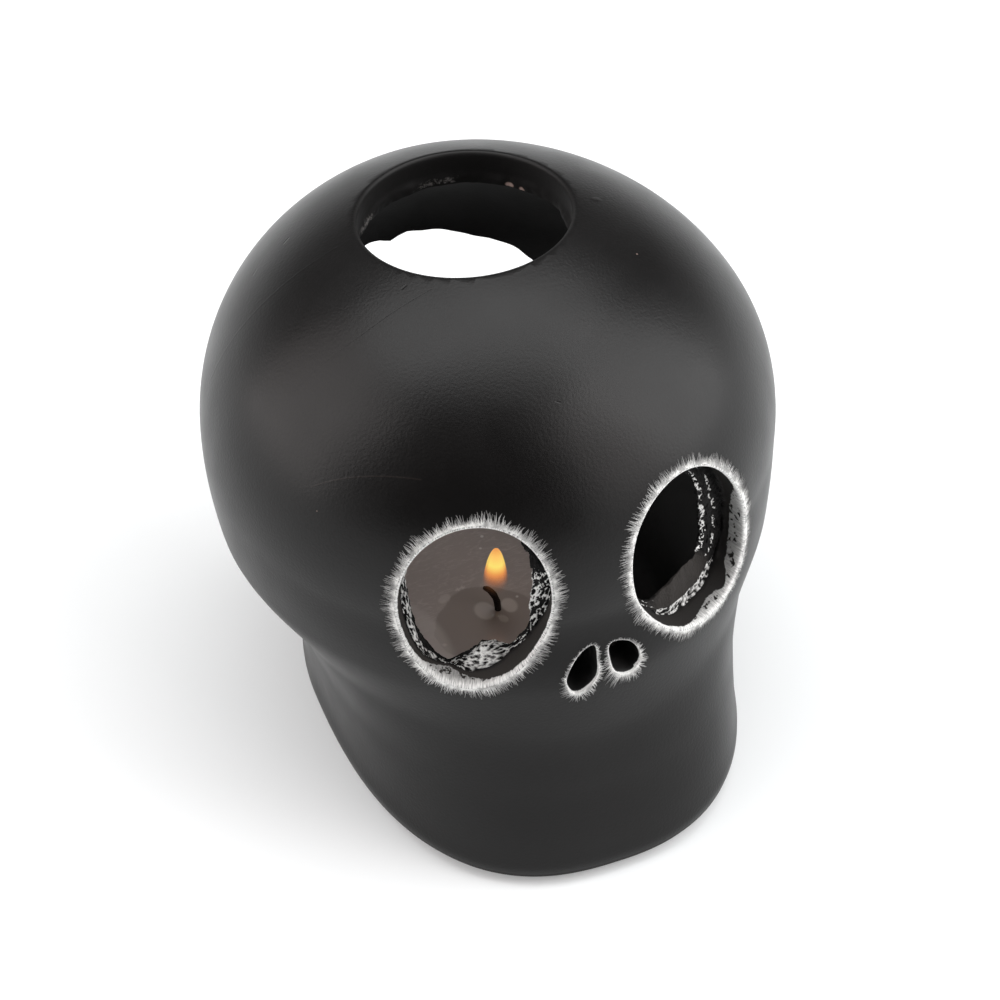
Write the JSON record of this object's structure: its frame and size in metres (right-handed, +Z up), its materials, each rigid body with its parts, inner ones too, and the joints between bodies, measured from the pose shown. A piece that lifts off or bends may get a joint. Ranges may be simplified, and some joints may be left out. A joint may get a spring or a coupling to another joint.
{
  "type": "skull candle holder",
  "caption": "Hollow painted clay skull with round eye openings, nostrils, a round hole in the crown and a back opening, holding a short pillar candle.",
  "frame": {"origin": "middle of the footprint's bounding box, on the surface that the skull stands on", "axes": "+Z up, the face looks along -Y, and +X is to the left of someone whom it faces"},
  "size_m": [0.1394, 0.1595, 0.1336],
  "materials": {
    "black_painted_clay": "satin black paint over fired clay, with silver dry-brushed rims",
    "wax": "candle wax with a molten pool round the wick",
    "burnt_wick": "charred cotton"
  },
  "bodies": {
    "root": {"skull_shell": "black_painted_clay", "candle_wax": "wax", "candle_wick": "burnt_wick"}
  },
  "joints": []
}
